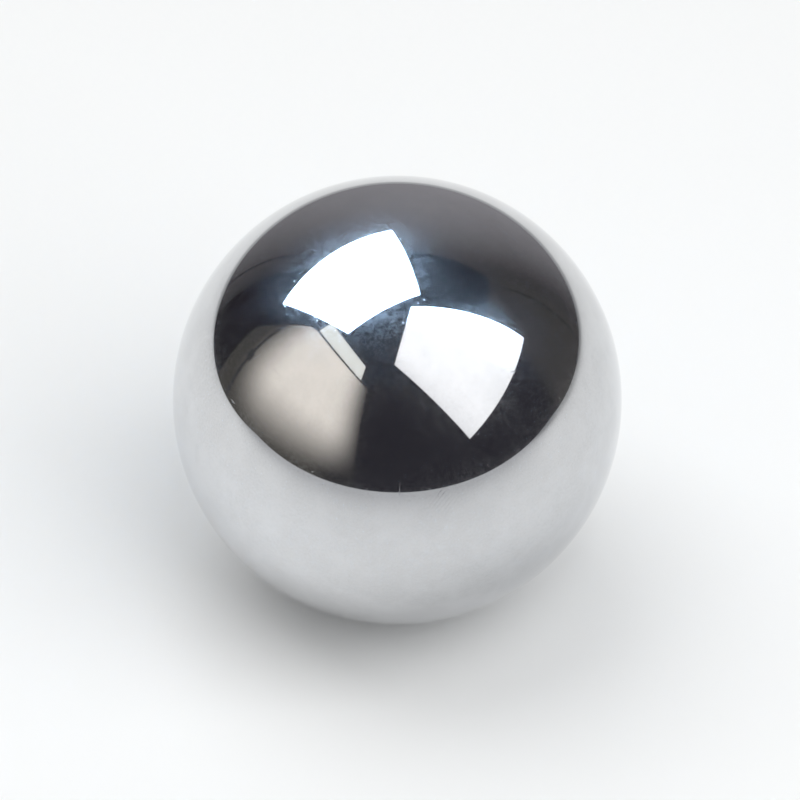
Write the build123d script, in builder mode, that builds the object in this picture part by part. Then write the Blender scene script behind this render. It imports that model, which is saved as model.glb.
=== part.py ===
from build123d import *
import os

# A loose steel ball, of the kind that bearings and rolling demonstrations use.
# It is one solid, finished all over as a true sphere: it has no flat, hole, seam or mark.
# Millimetres, +Z up, with the origin at the ball's centre.

# Driving dimension
ball_diameter = 50.0  # over the finished surface, a stocked metric size

# Worked out from it
ball_radius = ball_diameter / 2

os.makedirs("parts", exist_ok=True)

# ---- ball: a half disc in the XZ plane, turned once about the vertical axis ----
with BuildPart() as ball:
    with BuildSketch(Plane.XZ):
        with BuildLine():
            pole_to_pole = ThreePointArc(
                (0, -ball_radius),
                (ball_radius, 0),
                (0, ball_radius),
            )
            Line(pole_to_pole @ 1, pole_to_pole @ 0)
        make_face()
    revolve(axis=Axis.Z)

ball.part.label = "ball"
export_step(ball.part, "parts/ball.step")
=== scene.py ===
"""A loose, polished steel ball on a plain pale table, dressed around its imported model.

Every length is in metres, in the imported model's own frame: +Z up, with the ball's centre at the origin.
A polished ball is seen almost only by what it mirrors, so the studio around it is made with care too:
a pale table, two soft boxes, a warm wall with a light stand, and a dim room that closes it all in.
"""
import logging
import math
from dataclasses import dataclass
from enum import Enum

import bmesh
import bpy
from mathutils import Matrix, Vector


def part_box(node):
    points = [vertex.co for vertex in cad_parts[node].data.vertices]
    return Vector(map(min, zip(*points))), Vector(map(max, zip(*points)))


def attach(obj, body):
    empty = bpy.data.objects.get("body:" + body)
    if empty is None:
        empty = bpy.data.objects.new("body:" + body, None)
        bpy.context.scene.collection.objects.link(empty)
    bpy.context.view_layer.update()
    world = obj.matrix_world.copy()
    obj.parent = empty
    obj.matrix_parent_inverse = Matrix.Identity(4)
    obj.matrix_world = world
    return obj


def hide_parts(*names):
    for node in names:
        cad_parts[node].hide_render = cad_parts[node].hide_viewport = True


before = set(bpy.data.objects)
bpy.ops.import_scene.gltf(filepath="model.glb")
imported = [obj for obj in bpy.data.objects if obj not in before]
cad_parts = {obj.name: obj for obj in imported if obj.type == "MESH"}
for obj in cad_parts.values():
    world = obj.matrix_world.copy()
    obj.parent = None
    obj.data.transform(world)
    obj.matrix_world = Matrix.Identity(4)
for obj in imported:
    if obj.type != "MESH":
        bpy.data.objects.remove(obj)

LOG = logging.getLogger("steel_ball")
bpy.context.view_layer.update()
MM = 0.001
Colour = tuple[float, float, float, float]
Outline = tuple[tuple[float, float], ...]


def linear(code: str) -> Colour:
    """Turns an sRGB hex colour into Blender's linear values.

    Args:
        code: The colour, such as "#D2D3D5".

    Returns:
        Red, green and blue in linear light, and an alpha of 1.
    """
    parts = [int(code[i:i + 2], 16) / 255 for i in (1, 3, 5)]
    light = [p / 12.92 if p <= 0.04045 else ((p + 0.055) / 1.055) ** 2.4 for p in parts]
    return (*light, 1.0)


def add_node(
    tree: bpy.types.NodeTree,
    kind: str,
    inputs: dict[str | int, object] | None = None,
    **settings: object,
) -> bpy.types.Node:
    """Adds one shader node with its settings, values and links.

    Args:
        tree: The node tree that takes the node.
        kind: The node's type, without its "ShaderNode" prefix.
        inputs: For each input, by name or number, the value it holds or the output that feeds it.
        settings: The node's own settings.

    Returns:
        The new node.
    """
    node = tree.nodes.new("ShaderNode" + kind)
    for name, value in settings.items():
        setattr(node, name, value)
    for name, value in (inputs or {}).items():
        if isinstance(value, bpy.types.NodeSocket):
            tree.links.new(value, node.inputs[name])
        else:
            node.inputs[name].default_value = value
    return node


def new_material(name: str) -> tuple[bpy.types.Material, bpy.types.NodeTree]:
    """Makes an empty material with only its output node.

    Args:
        name: The material's name.

    Returns:
        The material and its node tree.
    """
    material = bpy.data.materials.new(name)
    material.use_nodes = True
    material.node_tree.nodes.clear()
    return material, material.node_tree


def new_object(name: str, mesh: bpy.types.Mesh) -> bpy.types.Object:
    """Puts a mesh into the scene as an object of its own.

    Args:
        name: The object's name.
        mesh: The mesh it shows.

    Returns:
        The new object, at the origin.
    """
    piece = bpy.data.objects.new(name, mesh)
    bpy.context.scene.collection.objects.link(piece)
    return piece


def rectangle(left: float, right: float, low: float, high: float) -> Outline:
    """Gives the corners of a rectangle.

    Args:
        left: Its left side, as a place along the face's own X.
        right: Its right side.
        low: Its lower side, as a place along the face's own Y.
        high: Its upper side.

    Returns:
        The four corners, anticlockwise.
    """
    return ((left, low), (right, low), (right, high), (left, high))


class CubeSide(Enum):
    """The six sides of the cube that the ball's faces are spread from, as (fixed axis, its end)."""

    LEFT = (0, 0)
    RIGHT = (0, 1)
    FRONT = (1, 0)
    BACK = (1, 1)
    UNDER = (2, 0)
    TOP = (2, 1)


@dataclass(frozen=True)
class Hairlines:
    """One set of fine handling scratches that all run the same way, as when a ball slides in a tray."""

    turn_deg: tuple[float, float, float]
    share: float = 0.5  # how many of the possible places hold a scratch
    width_mm: float = 0.15  # real ones are under 0.02 mm: drawn as wide as it takes for them to show
    length_mm: float = 4.5
    half: float = 0.12  # half a stroke's width, as a share of the cell that holds it

    def draw(self, tree: bpy.types.NodeTree, place: bpy.types.NodeSocket) -> bpy.types.NodeSocket:
        """Draws the scratches as long, thin, tapered strokes.

        Args:
            tree: The node tree that takes them.
            place: The place on the ball.

        Returns:
            Their depth, from 0 to 1.
        """
        across = self.width_mm * MM / (2 * self.half)
        along = self.length_mm * MM / (2 * self.half)
        laid = add_node(
            tree, "Mapping",
            {
                "Vector": place,
                "Rotation": [math.radians(t) for t in self.turn_deg],
                "Scale": (along, across, across),
            },
            vector_type="TEXTURE",
        )
        cells = add_node(tree, "TexVoronoi", {"Vector": laid.outputs[0], "Scale": 1.0})
        stroke = add_node(
            tree, "MapRange",
            {"Value": cells.outputs["Distance"], "From Max": self.half, "To Min": 1.0, "To Max": 0.0},
            interpolation_type="SMOOTHSTEP",
        )
        chance = add_node(tree, "SeparateColor", {0: cells.outputs["Color"]})
        chosen = add_node(
            tree, "MapRange",
            {"Value": chance.outputs[0], "From Min": 1 - self.share, "From Max": 1.0, "To Min": 0.0},
        )
        return add_node(
            tree, "Math", {0: stroke.outputs[0], 1: chosen.outputs[0]}, operation="MULTIPLY",
        ).outputs[0]


@dataclass(frozen=True)
class Scuff:
    """One small rub of parallel hairlines, where the ball was dragged over grit."""

    towards: tuple[float, float, float] = (0.20, -0.957, 0.213)  # from the ball's centre
    runs: tuple[float, float, float] = (0.593, 0.281, 0.754)
    spacing_mm: float = 0.42
    half_length_mm: float = 1.6
    half_width_mm: float = 1.9
    solid: float = 0.5  # the share of its half length and half width that it takes up before it fades
    line_start: float = 0.35  # how far up the wave a line starts, which keeps it narrower than its gap
    line_depth: float = 0.6

    def draw(
        self, tree: bpy.types.NodeTree, place: bpy.types.NodeSocket, radius: float,
    ) -> bpy.types.NodeSocket:
        """Draws the rub.

        Args:
            tree: The node tree that takes it.
            place: The place on the ball.
            radius: The ball's radius.

        Returns:
            Its depth, from 0 to 1.
        """
        outward = Vector(self.towards).normalized()
        along = Vector(self.runs).normalized()
        across = outward.cross(along).normalized()
        off = add_node(tree, "VectorMath", {0: place, 1: outward * radius}, operation="SUBTRACT").outputs[0]
        depth = None
        for way, half in ((along, self.half_length_mm * MM), (across, self.half_width_mm * MM)):
            spot = add_node(tree, "VectorMath", {0: off, 1: way}, operation="DOT_PRODUCT").outputs["Value"]
            away = add_node(tree, "Math", {0: spot}, operation="ABSOLUTE").outputs[0]
            fade = add_node(
                tree, "MapRange",
                {
                    "Value": away,
                    "From Min": half * self.solid,
                    "From Max": half,
                    "To Min": 1.0,
                    "To Max": 0.0,
                },
                interpolation_type="SMOOTHSTEP",
            ).outputs[0]
            depth = fade if depth is None else add_node(
                tree, "Math", {0: depth, 1: fade}, operation="MULTIPLY",
            ).outputs[0]
        phase = add_node(
            tree, "Math", {0: spot, 1: math.tau / (self.spacing_mm * MM)}, operation="MULTIPLY",
        )
        wave = add_node(tree, "Math", {0: phase.outputs[0]}, operation="SINE")
        lines = add_node(
            tree, "MapRange",
            {
                "Value": wave.outputs[0],
                "From Min": self.line_start,
                "From Max": 1.0,
                "To Max": self.line_depth,
            },
            interpolation_type="SMOOTHSTEP",
        )
        return add_node(tree, "Math", {0: depth, 1: lines.outputs[0]}, operation="MULTIPLY").outputs[0]


@dataclass(frozen=True)
class LappedChromeSteel:
    """Hardened chrome steel, ground and lapped to a mirror, and handled since.

    The eye gets a sharp, slightly cool mirror of about two thirds of the light. Over it lies the thin
    film of rust oil that such balls are kept in, wiped into soft clouds: it glows as a haze beside
    anything bright. Hair-fine scratches and a few small pits catch the light here and there.
    """

    name: str = "lapped_chrome_steel"
    bright: str = "#D7D8DA"
    filmed: str = "#CDCED0"
    mirror_roughness: float = 0.035
    scratch_roughness: float = 0.30
    film_roughness: float = 0.30
    film_ior: float = 1.95
    cloud_mm: float = 4.5
    grain_mm: float = 0.34
    pit_mm: float = 0.28  # real ones are about 0.1 mm: drawn as wide as it takes for them to show
    pit_depth: float = 0.8
    groove_mm: float = 0.004
    cloud_levels: tuple[float, float] = (0.36, 0.62)  # the noise between which the film thickens
    cloud_least: float = 0.4
    grain_levels: tuple[float, float] = (0.40, 0.62)
    grain_least: float = 0.2
    slants: tuple[float, float] = (0.35, 0.75)  # the film's glow fades as the face turns away

    def pits(self, tree: bpy.types.NodeTree, place: bpy.types.NodeSocket) -> bpy.types.NodeSocket:
        """Draws a few small round pits.

        Args:
            tree: The node tree that takes them.
            place: The place on the ball.

        Returns:
            Their depth, from 0 to 1.
        """
        half = 0.035  # half a pit's width, as a share of the cell that holds it
        cells = add_node(tree, "TexVoronoi", {"Vector": place, "Scale": 2 * half / (self.pit_mm * MM)})
        return add_node(
            tree, "MapRange",
            {"Value": cells.outputs["Distance"], "From Max": half, "To Min": self.pit_depth, "To Max": 0.0},
            interpolation_type="SMOOTHSTEP",
        ).outputs[0]

    def build(self, radius: float) -> bpy.types.Material:
        """Makes the material.

        Args:
            radius: The ball's radius.

        Returns:
            The finished material.
        """
        material, tree = new_material(self.name)
        place = add_node(tree, "TexCoord").outputs["Object"]
        clouds = add_node(
            tree, "TexNoise",
            {"Vector": place, "Scale": 1 / (self.cloud_mm * MM), "Detail": 5.0, "Roughness": 0.62},
        )
        bare, full = self.cloud_levels
        cloudy = add_node(
            tree, "MapRange",
            {"Value": clouds.outputs["Fac"], "From Min": bare, "From Max": full, "To Min": self.cloud_least},
            interpolation_type="SMOOTHSTEP",
        )
        grain = add_node(
            tree, "TexNoise",
            {"Vector": place, "Scale": 1 / (self.grain_mm * MM), "Detail": 2.0, "Roughness": 0.6},
        )
        bare, full = self.grain_levels
        grainy = add_node(
            tree, "MapRange",
            {"Value": grain.outputs["Fac"], "From Min": bare, "From Max": full, "To Min": self.grain_least},
        )
        film = add_node(tree, "Math", {0: cloudy.outputs[0], 1: grainy.outputs[0]}, operation="MULTIPLY")
        slant = add_node(tree, "LayerWeight", {"Blend": 0.5})
        near, far = self.slants
        flat_on = add_node(
            tree, "MapRange",
            {
                "Value": slant.outputs["Facing"],
                "From Min": near,
                "From Max": far,
                "To Min": 1.0,
                "To Max": 0.0,
            },
            interpolation_type="SMOOTHSTEP",
        )
        haze = add_node(tree, "Math", {0: film.outputs[0], 1: flat_on.outputs[0]}, operation="MULTIPLY")
        marks = self.pits(tree, place)
        turns = ((10, 20, 35), (80, 15, -50), (-30, 65, 10), (40, -70, 80))
        scratches = [Hairlines(turn).draw(tree, place) for turn in turns]
        for depth in (*scratches, Scuff().draw(tree, place, radius)):
            marks = add_node(tree, "Math", {0: marks, 1: depth}, operation="MAXIMUM").outputs[0]
        tone = add_node(
            tree, "Mix",
            {"Factor": cloudy.outputs[0], 6: linear(self.bright), 7: linear(self.filmed)},
            data_type="RGBA",
        )
        rough = add_node(
            tree, "MapRange",
            {"Value": marks, "To Min": self.mirror_roughness, "To Max": self.scratch_roughness},
        )
        groove = add_node(
            tree, "Bump", {"Height": marks, "Strength": 1.0, "Distance": self.groove_mm * MM}, invert=True,
        )
        shader = add_node(
            tree, "BsdfPrincipled",
            {
                "Base Color": tone.outputs[2],
                "Metallic": 1.0,
                "Roughness": rough.outputs[0],
                "Normal": groove.outputs[0],
                "Coat Weight": haze.outputs[0],
                "Coat Roughness": self.film_roughness,
                "Coat IOR": self.film_ior,
            },
        )
        add_node(tree, "OutputMaterial", {"Surface": shader.outputs[0]})
        return material


@dataclass(frozen=True)
class LightPool:
    """A soft-edged pool of light on a flat face, measured each way in the face's own plane."""

    centre: tuple[float, float] = (0.0, 0.0)
    core: tuple[float, float] = (0.0, 0.0)  # fully lit out to here
    reach: tuple[float, float] = (1.0, 1.0)  # and not at all past here

    def spread(self, tree: bpy.types.NodeTree) -> bpy.types.NodeSocket:
        """Draws the pool.

        Args:
            tree: The node tree that takes it.

        Returns:
            How well each place is lit, from 0 to 1.
        """
        place = add_node(tree, "SeparateXYZ", {0: add_node(tree, "TexCoord").outputs["Object"]})
        fades = []
        for axis, middle, core, reach in zip("XY", self.centre, self.core, self.reach):
            off = add_node(tree, "Math", {0: place.outputs[axis], 1: middle}, operation="SUBTRACT")
            away = add_node(tree, "Math", {0: off.outputs[0]}, operation="ABSOLUTE")
            fades.append(add_node(
                tree, "MapRange",
                {
                    "Value": away.outputs[0],
                    "From Min": core,
                    "From Max": reach,
                    "To Min": 1.0,
                    "To Max": 0.0,
                },
                interpolation_type="SMOOTHSTEP",
            ))
        return add_node(
            tree, "Math", {0: fades[0].outputs[0], 1: fades[1].outputs[0]}, operation="MULTIPLY",
        ).outputs[0]


@dataclass(frozen=True)
class MattLaminate:
    """White laminate with a matt face: it spreads light evenly, with no gloss to compete with the ball.

    Its colour darkens towards its front and back edges: painted shade, standing in for less light falling on
    those edges.
    """

    name: str = "matt_white_laminate"
    face: str = "#F3F4F4"
    painted_shade: str = "#C6C7C9"
    unshaded_middle: LightPool = LightPool((0.0, 0.13), (3.0, 0.16), (4.0, 0.34))  # the middle, free of the painted shade

    def build(self) -> bpy.types.Material:
        """Makes the material.

        Returns:
            The finished material.
        """
        material, tree = new_material(self.name)
        # Painted shade: the colour darkens towards the table's front and back edges.
        tone = add_node(
            tree, "Mix",
            {"Factor": self.unshaded_middle.spread(tree), 6: linear(self.painted_shade), 7: linear(self.face)},
            data_type="RGBA",
        )
        shader = add_node(tree, "BsdfDiffuse", {"Color": tone.outputs[2], "Roughness": 0.5})
        add_node(tree, "OutputMaterial", {"Surface": shader.outputs[0]})
        return material


@dataclass(frozen=True)
class Glow:
    """The tone of a face that glows."""

    code: str
    strength: float = 1.0  # 1 shows the colour as it is written

    def light(self) -> Colour:
        """Gives the tone in linear light."""
        return (*(self.strength * part for part in linear(self.code)[:3]), 1.0)


@dataclass(frozen=True)
class LitFace:
    """A face that is only ever seen mirrored, so it glows with the light that it would return.

    Its shade is blended towards each pool's glow in turn.
    """

    name: str
    shade: Glow
    pools: tuple[tuple[LightPool, Glow], ...] = ()

    def build(self) -> bpy.types.Material:
        """Makes the material.

        Returns:
            The finished material.
        """
        material, tree = new_material(self.name)
        colour = self.shade.light()
        for pool, glow in self.pools:
            colour = add_node(
                tree, "Mix", {"Factor": pool.spread(tree), 6: colour, 7: glow.light()}, data_type="RGBA",
            ).outputs[2]
        shader = add_node(tree, "Emission", {"Color": colour, "Strength": 1.0})
        add_node(tree, "OutputMaterial", {"Surface": shader.outputs[0]})
        material.cycles.emission_sampling = "NONE"
        return material


@dataclass
class SteelBall:
    """The ball itself: one closed skin of even four-sided faces on a true sphere."""

    node: str = "ball"
    body: str = "root"
    slot: str = "polished_steel"
    cells: int = 96  # faces along each edge of a side, which keeps its outline true to a few micrometres

    def measure(self) -> tuple[Vector, float]:
        """Reads the ball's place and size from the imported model.

        Returns:
            The centre and the radius.
        """
        low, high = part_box(self.node)
        centre = (low + high) / 2
        return centre, (high.z - low.z) / 2

    def skin(self) -> bpy.types.Mesh:
        """Makes the mesh: a cube's six grids, spread by equal angles onto the sphere.

        Returns:
            The mesh, with exact normals and a map with one even tile for each side.
        """
        centre, radius = self.measure()
        steps = [math.tan((i / self.cells - 0.5) * math.pi / 2) for i in range(self.cells + 1)]
        shell = bmesh.new()
        tiles = shell.loops.layers.uv.new("OFBake")
        corners: dict[tuple[int, ...], bmesh.types.BMVert] = {}

        def corner(spot: tuple[int, ...]) -> bmesh.types.BMVert:
            """Finds or makes the vertex that every side shares at one point.

            Args:
                spot: The point, in steps along the cube's three axes.

            Returns:
                The vertex, on the ball's surface.
            """
            if spot not in corners:
                outward = Vector([steps[s] for s in spot]).normalized()
                corners[spot] = shell.verts.new(centre + outward * radius)
            return corners[spot]

        for number, side in enumerate(CubeSide):
            axis, end = side.value
            for row in range(self.cells):
                for column in range(self.cells):
                    square = [(column, row), (column + 1, row), (column + 1, row + 1), (column, row + 1)]
                    square = square if end else square[::-1]
                    spots = []
                    for across, up in square:
                        spot = [0, 0, 0]
                        spot[axis] = end * self.cells
                        spot[(axis + 1) % 3] = across
                        spot[(axis + 2) % 3] = up
                        spots.append(tuple(spot))
                    face = shell.faces.new([corner(spot) for spot in spots])
                    face.smooth = True
                    for loop, (across, up) in zip(face.loops, square):
                        loop[tiles].uv = self.tile_place(number, across / self.cells, up / self.cells)
        mesh = bpy.data.meshes.new("polished_ball")
        shell.to_mesh(mesh)
        shell.free()
        mesh.normals_split_custom_set_from_vertices([(v.co - centre).normalized() for v in mesh.vertices])
        return mesh

    @staticmethod
    def tile_place(number: int, across: float, up: float) -> tuple[float, float]:
        """Finds a point's place in the map, which has three tiles by two with a margin around each.

        Args:
            number: The side's number, from 0.
            across: How far across the side the point is, from 0 to 1.
            up: How far up the side the point is, from 0 to 1.

        Returns:
            The place in the map.
        """
        columns, rows = 3, 2
        margin = 0.01
        inside = 1 - 2 * margin
        row, column = divmod(number, columns)
        return (column + margin + across * inside) / columns, (row + margin + up * inside) / rows

    def dress(self) -> bpy.types.Object:
        """Builds the ball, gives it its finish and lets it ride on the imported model.

        Returns:
            The finished piece.
        """
        mesh = self.skin()
        mesh.materials.append(LappedChromeSteel().build(self.measure()[1]))
        piece = new_object("polished_ball", mesh)
        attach(piece, self.body)
        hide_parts(self.node)
        LOG.info("%s: %d faces", piece.name, len(mesh.polygons))
        return piece


def only_mirrored(piece: bpy.types.Object) -> None:
    """Keeps a stage piece out of the picture and its glow off the table, but mirrored in the ball.

    Args:
        piece: The stage piece.
    """
    piece.visible_camera = False
    piece.visible_diffuse = False
    piece.visible_shadow = False


@dataclass
class StagePanel:
    """A flat face in the studio, such as a soft box's cloth, a wall or a strip of trim."""

    name: str
    foot: tuple[float, float, float]  # where its own X and Y are both 0
    facing: tuple[float, float, float]
    upward: tuple[float, float, float]
    outline: Outline

    def pose(self) -> Matrix:
        """Works out where the panel stands.

        Returns:
            The matrix that puts a flat panel, facing its own +Z, in its place.
        """
        out = Vector(self.facing).normalized()
        right = Vector(self.upward).cross(out).normalized()
        up = out.cross(right)
        turn = Matrix((right, up, out)).transposed().to_4x4()
        return Matrix.Translation(self.foot) @ turn

    def build(self, finish: LitFace) -> bpy.types.Object:
        """Makes the panel and stands it in its place, out of the picture.

        Args:
            finish: The finish of its face.

        Returns:
            The panel.
        """
        mesh = bpy.data.meshes.new(self.name)
        mesh.from_pydata([(x, y, 0) for x, y in self.outline], [], [range(len(self.outline))])
        mesh.materials.append(finish.build())
        panel = new_object(self.name, mesh)
        panel.matrix_world = self.pose()
        only_mirrored(panel)
        return panel


@dataclass
class SoftBox:
    """A soft box: a lamp that lights the table, and the glowing cloth that the ball mirrors."""

    name: str
    centre: tuple[float, float, float]
    facing: tuple[float, float, float]
    upward: tuple[float, float, float]
    width: float
    height: float
    cloth: LitFace
    watts: float

    def build(self) -> bpy.types.Object:
        """Makes the cloth and the lamp in one place.

        Returns:
            The lamp.
        """
        half_width, half_height = self.width / 2, self.height / 2
        outline = rectangle(-half_width, half_width, -half_height, half_height)
        panel = StagePanel(self.name, self.centre, self.facing, self.upward, outline)
        panel.build(self.cloth)
        data = bpy.data.lights.new(self.name + "_lamp", "AREA")
        data.shape = "RECTANGLE"
        data.size, data.size_y = self.width, self.height
        data.energy = self.watts
        lamp = bpy.data.objects.new(data.name, data)
        bpy.context.scene.collection.objects.link(lamp)
        about_face = Matrix.Rotation(math.pi, 4, "Y")
        lamp.matrix_world = panel.pose() @ about_face
        lamp.visible_glossy = False
        LOG.info("%s: %.2f by %.2f m", self.name, self.width, self.height)
        return lamp


@dataclass
class StudioTable:
    """The pale table top that the ball stands on, measured from the ball outwards."""

    front: float = 0.25
    back: float = 0.72
    left: float = 0.70
    right: float = 1.50
    thickness: float = 0.03

    def build(self, top: float) -> bpy.types.Object:
        """Makes the table top.

        Args:
            top: The height of its upper face.

        Returns:
            The table top.
        """
        mesh = bpy.data.meshes.new("table_top")
        slab = bmesh.new()
        bmesh.ops.create_cube(slab, size=1.0)
        size = Vector((self.left + self.right, self.front + self.back, self.thickness))
        middle = Vector((self.right - self.left, self.back - self.front, 2 * top - self.thickness)) / 2
        for vertex in slab.verts:
            vertex.co = Vector([c * s for c, s in zip(vertex.co, size)]) + middle
        slab.to_mesh(mesh)
        slab.free()
        mesh.materials.append(MattLaminate().build())
        table = new_object("table_top", mesh)
        return table


@dataclass
class StudioRoom:
    """The dim room around the table, measured from the ball outwards.

    Its faces glow with painted light, at the dim tones that matt paint out of the lamps' reach would return,
    so the ball mirrors them as even dark greys. The back wall and the right wall carry painted pools of
    spill light from the soft boxes.
    """

    back: float = 1.30
    left: float = 1.60
    right: float = 1.96
    front: float = 2.20
    above: float = 2.30
    below: float = 0.90
    trim_width: float = 0.045
    trim_inset: float = 0.01
    door_frames: tuple[float, ...] = (-1.15, -1.52)  # their places along the back wall
    corner_trim: float = 1.06  # its place along the right wall

    def faces(self) -> list[tuple[StagePanel, LitFace]]:
        """Lists the room's six sides and its trim, each with its tones.

        Returns:
            The panels and their finishes.
        """
        up = (0.0, 0.0, 1.0)
        low, high = -self.below, self.above
        # Painted light: each face glows at the tone the lit wall would return, and the spill pools are
        # painted light.
        spill = LightPool((0.13, 0.0), (0.0, 0.0), (1.70, 2.90))
        side_spill = LightPool((-0.65, 0.0), (0.55, 3.0), (1.00, 4.0))
        sides = [
            (
                StagePanel("back_wall", (0, self.back, 0), (0, -1, 0), up,
                           rectangle(-self.left, self.right, low, high)),
                LitFace("back_wall_painted_light", Glow("#444244"), ((spill, Glow("#969498")),)),
            ),
            (
                StagePanel("right_wall", (self.right, 0, 0), (-1, 0, 0), up,
                           rectangle(-self.back, self.front, low, high)),
                LitFace("right_wall_painted_light", Glow("#2F2E34"), ((side_spill, Glow("#464444")),)),
            ),
            (
                StagePanel("left_wall", (-self.left, 0, 0), (1, 0, 0), up,
                           rectangle(-self.front, self.back, low, high)),
                LitFace("left_wall_painted_light", Glow("#28262B")),
            ),
            (
                StagePanel("front_wall", (0, -self.front, 0), (0, 1, 0), up,
                           rectangle(-self.right, self.left, low, high)),
                LitFace("front_wall_painted_light", Glow("#2F2E34")),
            ),
            (
                StagePanel("ceiling", (0, 0, self.above), (0, 0, -1), (0, 1, 0),
                           rectangle(-self.right, self.left, -self.front, self.back)),
                LitFace("ceiling_painted_light", Glow("#2C2E36")),
            ),
            (
                StagePanel("room_floor", (0, 0, -self.below), (0, 0, 1), (0, 1, 0),
                           rectangle(-self.left, self.right, -self.front, self.back)),
                LitFace("room_floor_painted_light", Glow("#2F2E2F")),
            ),
        ]
        # The trim glows too: its tone is painted light.
        half = self.trim_width / 2
        trim = rectangle(-half, half, low, high)
        for number, across in enumerate(self.door_frames):
            sides.append((
                StagePanel(f"door_frame_{number}", (across, self.back - self.trim_inset, 0), (0, -1, 0), up,
                           trim),
                LitFace(f"door_frame_{number}_painted_light", Glow("#3B393D")),
            ))
        sides.append((
            StagePanel("corner_trim", (self.right - self.trim_inset, self.corner_trim, 0), (-1, 0, 0), up,
                       trim),
            LitFace("corner_trim_painted_light", Glow("#343336")),
        ))
        return sides

    def build(self) -> None:
        """Makes the room."""
        for panel, finish in self.faces():
            panel.build(finish)
        LOG.info("room: %.2f by %.2f m", self.left + self.right, self.front + self.back)


@dataclass
class WarmWall:
    """A warm white wall in front and to the left, with a large painted pool of light, and a pale duct along
    its top; both glow with painted light.
    """

    heading_deg: float = -65.0  # from the camera's side of the ball, anticlockwise from above
    distance: float = 0.90
    top: float = 1.16
    gap: float = 0.035

    def direction(self) -> Vector:
        """The level direction from the ball to the wall's foot."""
        heading = math.radians(self.heading_deg)
        return Vector((math.sin(heading), -math.cos(heading), 0.0))

    def build(self) -> None:
        """Makes the wall and the duct."""
        out = self.direction()
        foot = tuple(out * self.distance)
        facing = tuple(-out)
        up = (0.0, 0.0, 1.0)
        wall = (
            (-0.90, -0.27), (0.75, -0.27), (0.75, 0.52), (0.32, 1.11), (0.22, self.top), (-0.90, self.top),
        )
        # Painted light: a dim area and a bright pool glow on the wall.
        dusk = LightPool((0.30, 0.35), (0.62, 0.90), (0.98, 1.40))
        pool = LightPool((-0.18, 0.77), (0.27, 0.30), (0.79, 0.86))
        StagePanel("warm_wall", foot, facing, up, wall).build(
            LitFace(
                "warm_wall_painted_light", Glow("#343336"),
                ((dusk, Glow("#4A4845")), (pool, Glow("#FFF7ED", 1.11))),
            ),
        )
        # The duct's glow is painted light.
        duct = rectangle(-0.73, 0.20, self.top + self.gap, self.top + 0.37)
        duct_glow = LitFace("pale_duct_painted_light", Glow("#FEFFF9", 1.08))
        StagePanel("pale_duct", foot, facing, up, duct).build(duct_glow)


@dataclass
class LightStand:
    """A thin light stand before the warm wall, of black anodised tube, which shows as one dark line."""

    place: tuple[float, float] = (-0.946, 0.083)
    pole_radius: float = 0.014
    height: float = 0.75
    below: float = 0.80
    knuckle_radius: float = 0.034
    knuckle_span: tuple[float, float] = (0.28, 0.34)  # from its lower end to its upper end

    def build(self) -> bpy.types.Object:
        """Makes the stand.

        Returns:
            The stand.
        """
        mesh = bpy.data.meshes.new("light_stand")
        parts = bmesh.new()
        for radius, low, high in (
            (self.pole_radius, -self.below, self.height),
            (self.knuckle_radius, *self.knuckle_span),
        ):
            bmesh.ops.create_cone(
                parts, cap_ends=True, segments=24, radius1=radius, radius2=radius, depth=high - low,
                matrix=Matrix.Translation((*self.place, (low + high) / 2)),
            )
        parts.to_mesh(mesh)
        parts.free()
        # The tube is black, and its glow is painted light: the dim level that tube would return.
        mesh.materials.append(LitFace("black_anodised_tube", Glow("#414144")).build())
        stand = new_object("light_stand", mesh)
        only_mirrored(stand)
        return stand


@dataclass
class ProductCamera:
    """A long lens that looks down on the ball from the front edge of the table."""

    elevation_deg: float = 39.0
    distance: float = 0.35
    fill: float = 0.5615  # the share of the picture's width that the ball spans
    aside: float = 0.0003  # the ball stands this far left of the picture's middle

    def build(self, centre: Vector, radius: float) -> bpy.types.Object:
        """Makes the camera and hands it to the scene.

        Args:
            centre: The ball's centre.
            radius: The ball's radius.

        Returns:
            The camera.
        """
        data = bpy.data.cameras.new("product_camera")
        data.sensor_width = 36.0
        half_view = radius / math.sqrt(self.distance**2 - radius**2) / self.fill
        data.lens = data.sensor_width / 2 / half_view
        data.clip_start, data.clip_end = 0.01, 20.0
        camera = bpy.data.objects.new("product_camera", data)
        bpy.context.scene.collection.objects.link(camera)
        tilt = math.radians(self.elevation_deg)
        back = Vector((0.0, -math.cos(tilt), math.sin(tilt)))
        camera.location = centre + back * self.distance + Vector((self.aside, 0.0, 0.0))
        camera.rotation_mode = "QUATERNION"
        camera.rotation_quaternion = (-back).to_track_quat("-Z", "Y")
        bpy.context.scene.camera = camera
        LOG.info("camera: %.0f mm lens", data.lens)
        return camera


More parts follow.
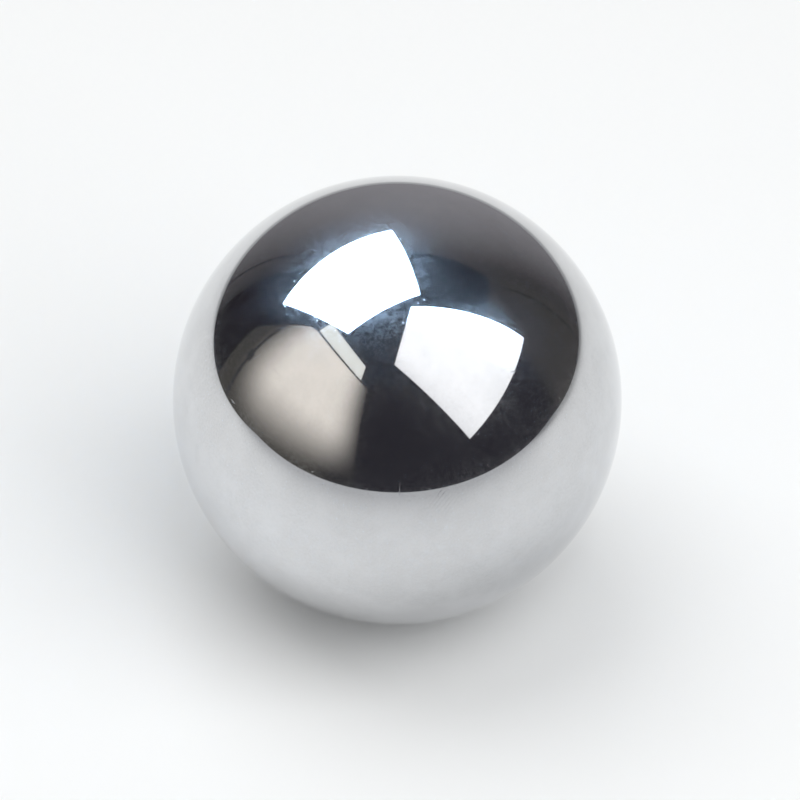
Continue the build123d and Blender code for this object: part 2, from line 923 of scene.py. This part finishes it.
def light_world(ambient: float = 0.405) -> None:
    """Fills the studio with even white light, and shows as plain white behind the table.

    Args:
        ambient: The light that matt surfaces get from it, where 1 is white.
    """
    world = bpy.data.worlds.new("white_studio")
    bpy.context.scene.world = world
    world.use_nodes = True
    tree = world.node_tree
    tree.nodes.clear()
    path = add_node(tree, "LightPath")
    seen = path.outputs["Is Camera Ray"]
    for ray in ("Is Glossy Ray", "Is Transmission Ray"):
        seen = add_node(tree, "Math", {0: seen, 1: path.outputs[ray]}, operation="MAXIMUM").outputs[0]
    strength = add_node(tree, "MapRange", {"Value": seen, "To Min": ambient, "To Max": 1.0})
    glow = add_node(tree, "Background", {"Color": linear("#FFFFFF"), "Strength": strength.outputs[0]})
    add_node(tree, "OutputWorld", {"Surface": glow.outputs[0]})


def soft_boxes() -> list[SoftBox]:
    """Lists the two soft boxes.

    The key box's cloth is plain white towards its corners and hotter, with a cool cast, by its tube. The
    other one is hot all over.

    Returns:
        The key box, in front to the right, and the box overhead.
    """
    dim = Glow("#FDFDFF", 1.03)
    white = Glow("#FEFEFF", 1.5)
    hot = Glow("#BCDCFF", 16)
    return [
        SoftBox(
            "key_box", (0.276, -0.322, 0.678), (-0.85, 0.34, -0.40), (0.252, 0.934, 0.259), 0.965, 0.645,
            LitFace("key_cloth", dim, (
                (LightPool((0.20, 0.12), (0.50, 0.22), (1.05, 0.62)), white),
                (LightPool((0.10, 0.32), (0.35, 0.05), (0.62, 0.24)), hot),
            )),
            4.1,
        ),
        SoftBox(
            "top_box", (-0.22, 0.136, 0.757), (0.39, -0.53, -0.76), (-0.3, 0.7, -0.64), 0.68, 0.68,
            LitFace("top_cloth", hot),
            2.95,
        ),
    ]


def main() -> None:
    """Builds the camera, the ball and the studio in order, and logs the camera, the ball, the room and the
    soft boxes.
    """
    logging.basicConfig(level=logging.INFO, format="%(name)s: %(message)s")
    bpy.context.scene.view_settings.view_transform = "Standard"
    ball = SteelBall()
    centre, radius = ball.measure()
    ProductCamera().build(centre, radius)
    ball.dress()
    StudioTable().build(centre.z - radius)
    StudioRoom().build()
    WarmWall().build()
    LightStand().build()
    for box in soft_boxes():
        box.build()
    light_world()


if __name__ == "__main__":
    main()
